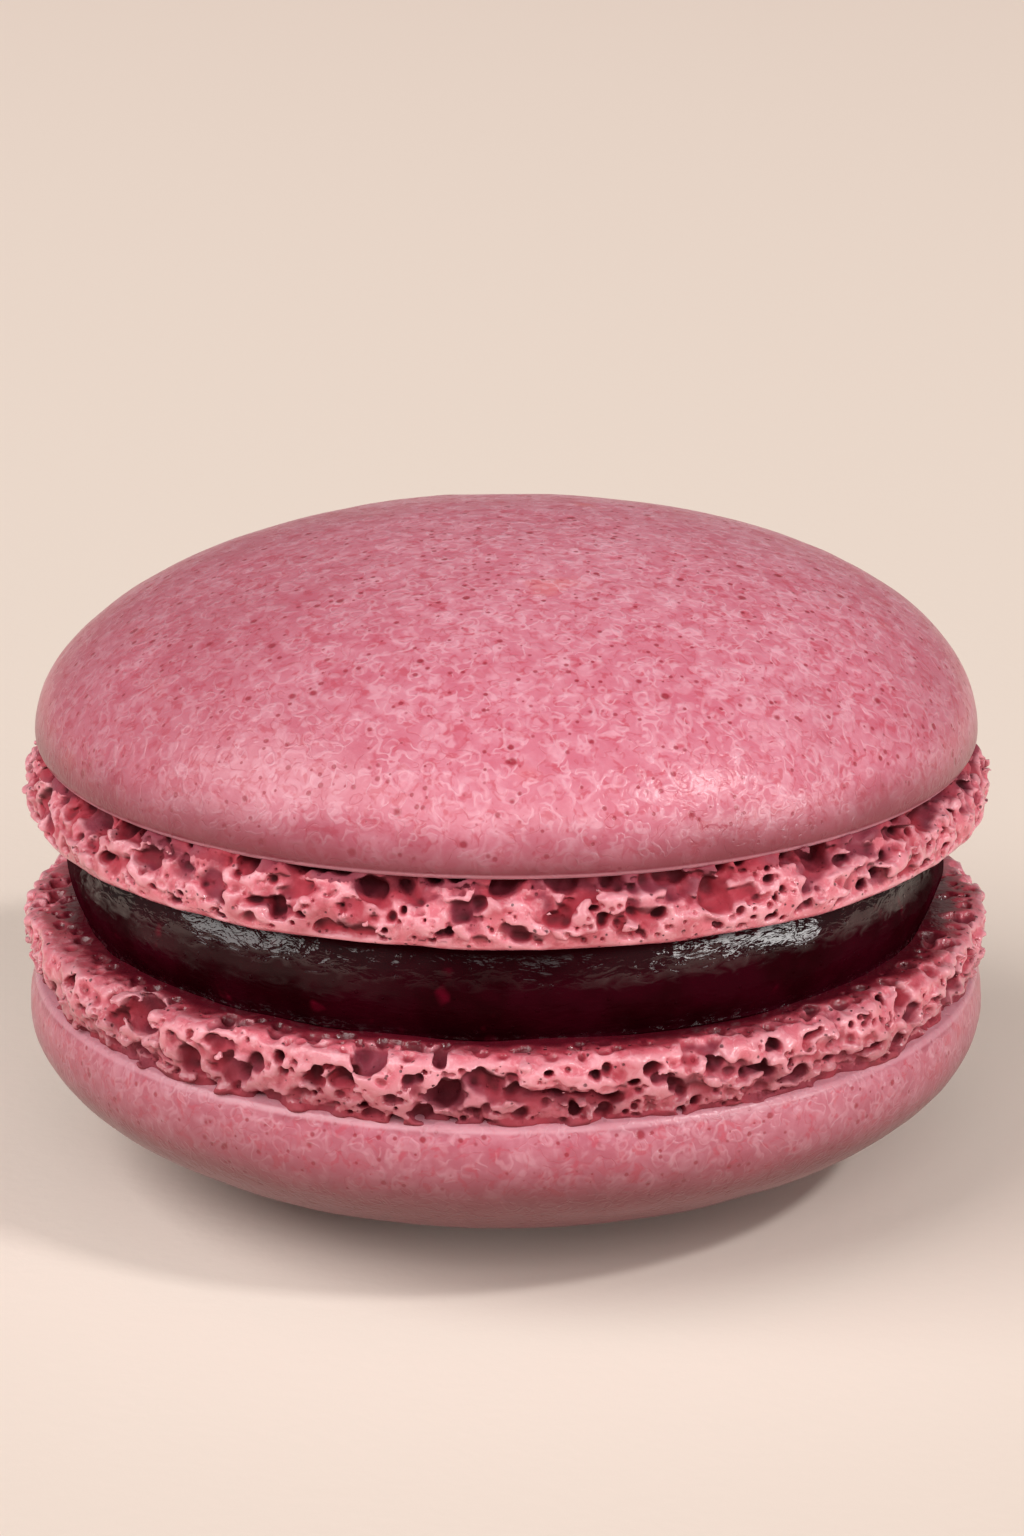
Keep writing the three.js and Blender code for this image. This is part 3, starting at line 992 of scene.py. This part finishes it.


# Finish of the feet: moist coral sponge, with painted shade in its hollows and creases and painted
# highlights on its ridges
footFinish = {
    "coral": (0.7, 0.16, 0.21),
    "light": (0.89, 0.44, 0.505),
    "red": (0.4, 0.028, 0.05),
    "dusk": (0.2, 0.022, 0.046),
    "burgundy": (0.06, 0.003, 0.008),
    "shade": (0.28, 0.036, 0.055),
    "shaded": (12.9, 10.2),  # heights over which the lower foot darkens
    "shadeStrength": 0.0,
    "stain": (0.13, 0.006, 0.016),
    "stained": (22.9, 22.0),  # radius up to which jam has stained the dough
    "roughness": 0.3,
    "relief": 0.07,
}
footPatterns = {
    "mottle": (noise, 0.9, (0, 0, 0), 4.0, 0.6, 0.5),
    "patch": (noise, 0.35, (8, 33, 5), 2.0),
    "crumb": (noise, 2.3, (6, 12, 41), 3.0, 0.6, 0.6),
    "grain": (noise, 3.0, (3, 61, 9), 3.0, 0.6),
    "dots": (specks, 2.1, (0, 0, 0), 0.095, 0.8),
}
footCoats = [
    ("crumb", (0.52, 0.7), 0.55, "light"),
    ("crumb", (0.46, 0.3), 0.5, "red"),
    ("patch", (0.54, 0.66), 0.5, "red"),
    # painted highlight: paler where the dough is least crowded, on its ridges
    ("crowd", (0.46, 0.32), 0.5, "light"),
    # painted shade, reddening the creases
    ("crowd", (0.49, 0.6), 0.8, "red"),
    ("dots", None, 0.85, "burgundy"),
    # pore walls: partly their dusky colour, partly painted shade
    ("depth", (0.2, 0.45), 0.85, "wallTintAndShade"),
    # painted shade in the hollows and on the cave ceilings
    ("crowd", (0.58, 0.77), 0.93, "burgundy"),
    ("ceilingShade", None, 0.85, "burgundy"),
]
footRelief = {"mottle": 0.6, "crumb": 0.7, "grain": 0.3, "dots": -0.7}


def footMaterial(name, finish):
    material, tree, place = newMaterial(name)
    patterns = drawn(tree, footPatterns, place)
    depth = carried(tree, "depth")
    # Painted shade on the ceilings of caves: deep points whose surface faces down
    ceilingShade = fade(tree, carried(tree, "down"), 0.0, 0.6)
    ceilingShade = scaled(tree, ceilingShade, fade(tree, depth, 0.12, 0.35))
    patterns.update({"depth": depth, "crowd": carried(tree, "crowd"), "ceilingShade": ceilingShade})
    wallTintAndShade = over(tree, fade(tree, patterns["patch"], 0.42, 0.6), finish["dusk"], finish["red"])
    mottle = patterns["mottle"]
    colour = over(tree, fade(tree, mottle, 0.5, 0.8), finish["coral"], finish["light"])
    colour = layered(tree, colour, footCoats, patterns, {**finish, "wallTintAndShade": wallTintAndShade})
    height = add(tree, "ShaderNodeSeparateXYZ", {0: place}).outputs[2]
    shade = fade(tree, height, *finish["shaded"])
    colour = over(tree, scaled(tree, shade, finish["shadeStrength"]), colour, finish["shade"])
    flat = vectorMaths(tree, "MULTIPLY", place, (1, 1, 0))
    radius = add(tree, "ShaderNodeVectorMath", {0: flat}, operation="LENGTH").outputs["Value"]
    ragged = maths(tree, "ADD", radius, stretched(tree, mottle, 2.4, -1.2))
    stain = fade(tree, ragged, *finish["stained"])
    colour = over(tree, scaled(tree, stain, 0.7), colour, finish["stain"])

    normal = bumped(tree, mixed(tree, patterns, footRelief), finish["relief"] * metre)
    hollow = fade(tree, depth, 0.12, 0.4)
    settings = {
        "Roughness": stretched(tree, hollow, 0.45, finish["roughness"]),
        "Subsurface Weight": 0.05,
        "Subsurface Radius": (1.0, 0.3, 0.25),
        "Subsurface Scale": 0.0006,
        "Specular IOR Level": 0.35,
        "Coat Weight": stretched(tree, hollow, -0.65, 0.65),
        "Coat Roughness": 0.14,
    }
    surface(tree, colour, normal, settings)
    return material


# Finish of the jam: wet and nearly black, with a red glow where it is thin
jamFinish = {
    "dark": (0.014, 0.0004, 0.0016),
    "wine": (0.03, 0.0009, 0.0044),
    "ruby": (0.16, 0.003, 0.018),
    "crease": (17.2, 17.7),  # heights between which painted shade darkens it under the upper foot
    "wetUpper": (15.8, 16.8),
    "wetLeft": (14.9, 15.9),
    "wetLower": (13.9, 13.5),
    "dry": 0.025,
    "wet": 1.0,
    "roughness": 0.32,
    "relief": 0.05,
}
jamPatterns = {
    "slow": (noise, 0.22, (0, 0, 0), 3.0, 0.6),
    "spots": (noise, 0.6, (4, 9, 2), 2.0),
    "bubbles": (specks, 1.6, (0, 0, 0), 0.11, 0.5),
}
flatPatterns = {
    "wrinkle": (noise, 0.8, (14, 5, 2), 2.0, 0.45, 1.2),
    "fine": (noise, 2.4, (1, 55, 2), 2.0, 0.5, 0.8),
}
jamRelief = {"wrinkle": 1.0, "fine": 0.25, "bubbles": 0.6}


def jamMaterial(name, finish):
    material, tree, place = newMaterial(name)
    patterns = drawn(tree, jamPatterns, place)
    flat = vectorMaths(tree, "MULTIPLY", place, (1, 1, 2.4))
    patterns.update(drawn(tree, flatPatterns, flat))
    slow = patterns["slow"]
    wrinkle = patterns["wrinkle"]
    split = add(tree, "ShaderNodeSeparateXYZ", {0: place})
    across = split.outputs[0]
    height = split.outputs[2]
    colour = over(tree, fade(tree, slow, 0.35, 0.65), finish["dark"], finish["wine"])
    # Ruby spots here and there, then painted shade at the top, under the upper foot
    coats = [("spots", (0.66, 0.8), 0.6, "ruby"), ("height", finish["crease"], 0.8, "dark")]
    colour = layered(tree, colour, coats, {**patterns, "height": height}, finish)
    normal = bumped(tree, mixed(tree, patterns, jamRelief), finish["relief"] * metre)

    # Wetter where the side turns up, and along the crease at its foot
    ragged = maths(tree, "ADD", height, stretched(tree, wrinkle, 1.6, -0.8))
    upper = fade(tree, ragged, *finish["wetUpper"])
    aside = maths(tree, "ADD", across, stretched(tree, wrinkle, 4.0, -2.0))
    aside = maths(tree, "ABSOLUTE", aside)
    upper = scaled(tree, upper, stretched(tree, fade(tree, aside, 2.0, 6.5), 0.75, 0.25))
    upper = scaled(tree, upper, fade(tree, aside, 21.0, 18.2))
    left = maths(tree, "ADD", across, stretched(tree, slow, 5.0, -2.5))
    left = scaled(tree, fade(tree, left, -3.0, -8.0), fade(tree, left, -19.0, -16.0))
    left = scaled(tree, left, fade(tree, ragged, *finish["wetLeft"]))
    upper = maths(tree, "MAXIMUM", upper, scaled(tree, left, 0.3))
    upper = scaled(tree, upper, fade(tree, height, *finish["crease"][::-1]))
    lower = scaled(tree, fade(tree, ragged, *finish["wetLower"]), fade(tree, patterns["fine"], 0.5, 0.62))
    wetness = maths(tree, "MAXIMUM", upper, lower)
    settings = {
        "Roughness": finish["roughness"],
        "Coat Weight": stretched(tree, wetness, finish["wet"] - finish["dry"], finish["dry"]),
        "Coat Roughness": 0.06,
        "Coat IOR": 1.5,
        "Specular IOR Level": 0.0,
    }
    surface(tree, colour, normal, settings)
    return material


# The table and the light
tableTop = {
    # near: painted light, paler close to the macaron, against its shade and the pink light it casts
    "near": (0.96, 0.85, 0.76),
    "middle": (0.88, 0.755, 0.665),
    # far: painted light, paler towards the back where the lamps reach less
    "far": (0.98, 0.82, 0.72),
    "size": 1600,
    "depth": 2600,
}


def makeTable(top):
    material, tree, place = newMaterial("paleTable")
    away = add(tree, "ShaderNodeVectorMath", {0: place}, operation="LENGTH").outputs["Value"]
    back = add(tree, "ShaderNodeSeparateXYZ", {0: place}).outputs[1]
    # Painted light: paler near the macaron and towards the back
    colour = over(tree, fade(tree, away, 18, 52), top["near"], top["middle"])
    colour = over(tree, fade(tree, back, 60, 560, False), colour, top["far"])
    normal = bumped(tree, noise(tree, place, 1.2, 4.0), 0.02 * metre)
    surface(tree, colour, normal, {"Roughness": 0.85, "Specular IOR Level": 0.15})
    half = top["size"] / 2
    back = top["depth"]
    points = np.array([[-half, -half, 0], [half, -half, 0], [half, back, 0], [-half, back, 0]], float)
    made = asMesh("tableTop", points, np.array([[0, 1, 2, 3]]))
    made.data.materials.append(material)


# Each light by its bearing from the front, to the right, and its rise, in degrees
lights = {
    "key": {"angles": (-64, 46), "distance": 2800, "size": (2600, 1700), "power": 50},
    "sheen": {"angles": (57, 44), "distance": 2800, "size": (440, 190), "power": 24},
    "strip": {"angles": (62, 11), "distance": 2800, "size": (1900, 400), "power": 26},
    "leftLow": {"angles": (-74, 12), "distance": 2800, "size": (1500, 560), "power": 11},
    "front": {"angles": (0, 35), "distance": 3200, "size": (1800, 1000), "power": 21},
}
lightColour = (1.0, 0.98, 0.965)
skyLight = {"colour": (1.0, 0.93, 0.87), "strength": 0.18}


def makeLights():
    middle = Vector((0, 0, 16 * metre))
    for name, facts in lights.items():
        data = bpy.data.lights.new(name, "AREA")
        data.shape = "RECTANGLE"
        data.size = facts["size"][0] * metre
        data.size_y = facts["size"][1] * metre
        data.energy = facts["power"]
        data.color = lightColour
        lamp = linked(name, data)
        bearing, rise = (math.radians(angle) for angle in facts["angles"])
        away = Vector((math.sin(bearing), -math.cos(bearing), math.tan(rise))).normalized()
        lamp.location = middle + away * facts["distance"] * metre
        lamp.rotation_euler = away.to_track_quat("Z", "Y").to_euler()
    world = bpy.data.worlds.new("studio")
    world.use_nodes = True
    sky = world.node_tree.nodes["Background"]
    sky.inputs["Color"].default_value = (*skyLight["colour"], 1)
    sky.inputs["Strength"].default_value = skyLight["strength"]
    bpy.context.scene.world = world
    bpy.context.scene.view_settings.view_transform = "Standard"


def dress(piece, material, node):
    piece.data.materials.clear()
    piece.data.materials.append(material)
    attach(piece, "root")
    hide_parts(node)


makeTable(tableTop)
makeLights()
print("table and lights ready")

# The lower cap: the upper cap's finish darkened as painted shade, with painted shade at its base and less
# above the seam and on the sides
lowerShadedFinish = {
    **capFinish,
    "pink": (0.59, 0.2, 0.265),
    "pale": (0.74, 0.36, 0.43),
    "rose": (0.5, 0.12, 0.175),
    "seamShadeWidth": 0.5,
    "seamShadeStrength": 0.3,
    "bakedStrength": 0.25,
    "baseShadeStrength": 0.95,
}
upperAlmond = capMaterial("upperAlmond", capFinish)
lowerShadedAlmond = capMaterial("lowerShadedAlmond", lowerShadedFinish)
dress(makeCap("upperCap", upperCap, True), upperAlmond, "upper_shell")
dress(makeCap("lowerCap", lowerCap, False), lowerShadedAlmond, "lower_shell")
print("caps ready")

upperSponge = footMaterial("upperSponge", footFinish)
lowerSponge = footMaterial("lowerSponge", {**footFinish, "shadeStrength": 0.6})
dress(makeFoot("upperFoot", upperFoot, True), upperSponge, "upper_shell")
dress(makeFoot("lowerFoot", lowerFoot, False), lowerSponge, "lower_shell")
print("feet ready")

dress(makeJam(jamFilling), jamMaterial("berryJam", jamFinish), "jam_filling")
print("jam ready")
